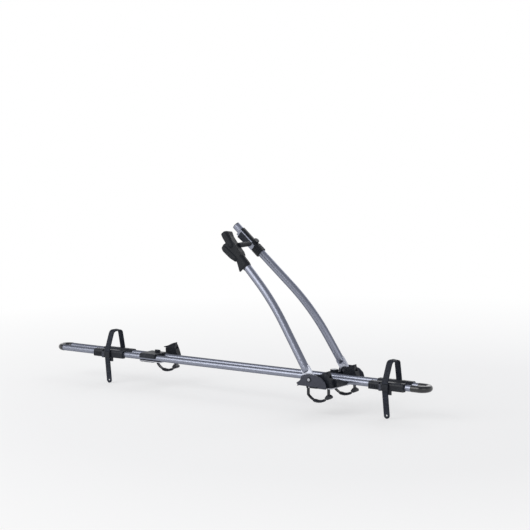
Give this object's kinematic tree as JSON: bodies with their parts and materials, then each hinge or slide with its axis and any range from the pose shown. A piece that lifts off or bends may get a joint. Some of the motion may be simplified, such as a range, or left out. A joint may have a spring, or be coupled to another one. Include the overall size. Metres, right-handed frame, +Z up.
{
  "type": "roof mounted bike carrier",
  "caption": "Upright bicycle carrier for load bars: a wheel tray with strapped wheel holders, clamping feet and hinged arms that grip the frame tube.",
  "frame": {"origin": "middle of the front foot's seat, on the top face of the front load bar, below the middle of the tray", "axes": "+X along the tray to its front end, +Y to the side with the slim arm, +Z up"},
  "size_m": [1.4961, 0.224, 0.5629],
  "materials": {
    "alu": "satin anodised extrusion",
    "steel": "zinc plated steel",
    "darksteel": "dark grey satin powder coat",
    "black": "moulded, fine texture",
    "gloss": "moulded, smooth",
    "grey": "moulded, smooth",
    "rubber": "moulded rubber",
    "softgrey": "soft moulded rubber",
    "armpaint": "satin anodised oval tube"
  },
  "bodies": {
    "carrier": {"rail": "alu", "front_end_loop": "gloss", "rear_end_loop": "gloss", "front_foot_plate": "steel", "front_foot_pad": "rubber", "front_foot_cover": "black", "near_clevis": "black", "far_clevis": "black", "near_cheek": "darksteel", "far_cheek": "darksteel", "arm_pivot_pins": "steel", "pivot_washers": "black", "skirt_rivets": "steel", "tray_bolts": "steel", "tray_nuts": "steel", "near_clamp_housing": "black", "far_clamp_housing": "black", "front_clamp_pins": "steel", "front_hook_rods": "steel"},
    "foot_knob": {"foot_knob": "black", "foot_knob_disc": "grey"},
    "near_lever": {"near_clamp_lever": "black"},
    "near_hook": {"near_clamp_hook": "darksteel"},
    "far_lever": {"far_clamp_lever": "black"},
    "far_hook": {"far_clamp_hook": "darksteel"},
    "rear_foot": {"rear_plate": "steel", "rear_pad": "rubber", "rear_saddle": "black", "rear_clamp_housing": "black", "rear_clamp_pin": "steel", "rear_hook_rod": "steel"},
    "saddle_knob": {"saddle_knob": "black"},
    "rear_lever": {"rear_clamp_lever": "black"},
    "rear_hook": {"rear_clamp_hook": "darksteel"},
    "front_holder": {"front_cradle": "black", "front_clamp_block": "black", "front_strap": "rubber", "front_release_pin": "steel", "front_anchor_pin": "steel"},
    "front_release": {"front_release_lever": "grey"},
    "rear_holder": {"rear_cradle": "black", "rear_clamp_block": "black", "rear_strap": "rubber", "rear_release_pin": "steel", "rear_anchor_pin": "steel"},
    "rear_release": {"rear_release_lever": "grey"},
    "near_arm": {"near_arm_tube": "armpaint", "near_arm_tongue": "steel", "near_arm_rivets": "steel", "near_claw": "softgrey", "near_claw_pad": "rubber", "cross_finger": "softgrey"},
    "far_arm": {"far_arm_tube": "armpaint", "far_arm_tongue": "steel", "far_arm_rivets": "steel", "far_arm_plug": "black"},
    "far_jaw": {"far_jaw_sleeve": "black", "far_jaw_bracket": "alu", "far_jaw_pad": "rubber"},
    "jaw_knob": {"far_jaw_knob": "black"}
  },
  "joints": [
    {"name": "near_arm_pivot", "type": "hinge", "parent": "carrier", "child": "near_arm", "pos_m": [-0.0205, -0.108, 0.026], "axis": [0, 1, 0], "range_deg": [-43, 25]},
    {"name": "far_arm_pivot", "type": "hinge", "parent": "carrier", "child": "far_arm", "pos_m": [-0.0205, 0.0835, 0.026], "axis": [0, 1, 0], "range_deg": [-43, 25]},
    {"name": "far_jaw_slide", "type": "slide", "parent": "far_arm", "child": "far_jaw", "axis": [-0.7431, -0.0666, 0.6658], "range_m": [-0.04, 0.028]},
    {"name": "jaw_knob_turn", "type": "hinge", "parent": "far_jaw", "child": "jaw_knob", "pos_m": [-0.34086, 0.04637, 0.42113], "axis": [0.6691, -0.0739, 0.7395], "continuous": true},
    {"name": "foot_knob_turn", "type": "hinge", "parent": "carrier", "child": "foot_knob", "pos_m": [-0.046, 0.057, 0.027], "axis": [0, 0, 1], "continuous": true},
    {"name": "near_lever_pivot", "type": "hinge", "parent": "carrier", "child": "near_lever", "pos_m": [0.033, -0.099, 0.044], "axis": [0, 1, 0], "range_deg": [0, 100]},
    {"name": "near_hook_pivot", "type": "hinge", "parent": "carrier", "child": "near_hook", "pos_m": [-0.038, -0.099, 0.0075], "axis": [0, 1, 0], "range_deg": [0, 4]},
    {"name": "far_lever_pivot", "type": "hinge", "parent": "carrier", "child": "far_lever", "pos_m": [0.033, 0.046, 0.044], "axis": [0, 1, 0], "range_deg": [0, 100]},
    {"name": "far_hook_pivot", "type": "hinge", "parent": "carrier", "child": "far_hook", "pos_m": [-0.038, 0.046, 0.0075], "axis": [0, 1, 0], "range_deg": [0, 4]},
    {"name": "rear_foot_slide", "type": "slide", "parent": "carrier", "child": "rear_foot", "axis": [1, 0, 0], "range_m": [-0.04, 0.05]},
    {"name": "saddle_knob_turn", "type": "hinge", "parent": "rear_foot", "child": "saddle_knob", "pos_m": [-0.728, 0.012, 0.03], "axis": [0, 0, 1], "continuous": true},
    {"name": "rear_lever_pivot", "type": "hinge", "parent": "rear_foot", "child": "rear_lever", "pos_m": [-0.708, 0.076, 0.044], "axis": [0, 1, 0], "range_deg": [0, 100]},
    {"name": "rear_hook_pivot", "type": "hinge", "parent": "rear_foot", "child": "rear_hook", "pos_m": [-0.779, 0.076, 0.0075], "axis": [0, 1, 0], "range_deg": [0, 4]},
    {"name": "front_holder_slide", "type": "slide", "parent": "carrier", "child": "front_holder", "axis": [1, 0, 0], "range_m": [-0.07, 0.02]},
    {"name": "front_release_pivot", "type": "hinge", "parent": "front_holder", "child": "front_release", "pos_m": [0.1929, -0.0413, 0.019], "axis": [1, 0, 0], "range_deg": [-50, 0]},
    {"name": "rear_holder_slide", "type": "slide", "parent": "carrier", "child": "rear_holder", "axis": [1, 0, 0], "range_m": [-0.13, 0.02]},
    {"name": "rear_release_pivot", "type": "hinge", "parent": "rear_holder", "child": "rear_release", "pos_m": [-0.9171, -0.0413, 0.019], "axis": [1, 0, 0], "range_deg": [-50, 0]}
  ],
  "couplings": [
    {"joint": "far_arm_pivot", "follows": "near_arm_pivot", "ratio": 1},
    {"joint": "near_hook_pivot", "follows": "near_lever_pivot", "ratio": 0.038},
    {"joint": "far_hook_pivot", "follows": "far_lever_pivot", "ratio": 0.038},
    {"joint": "rear_hook_pivot", "follows": "rear_lever_pivot", "ratio": 0.038}
  ]
}
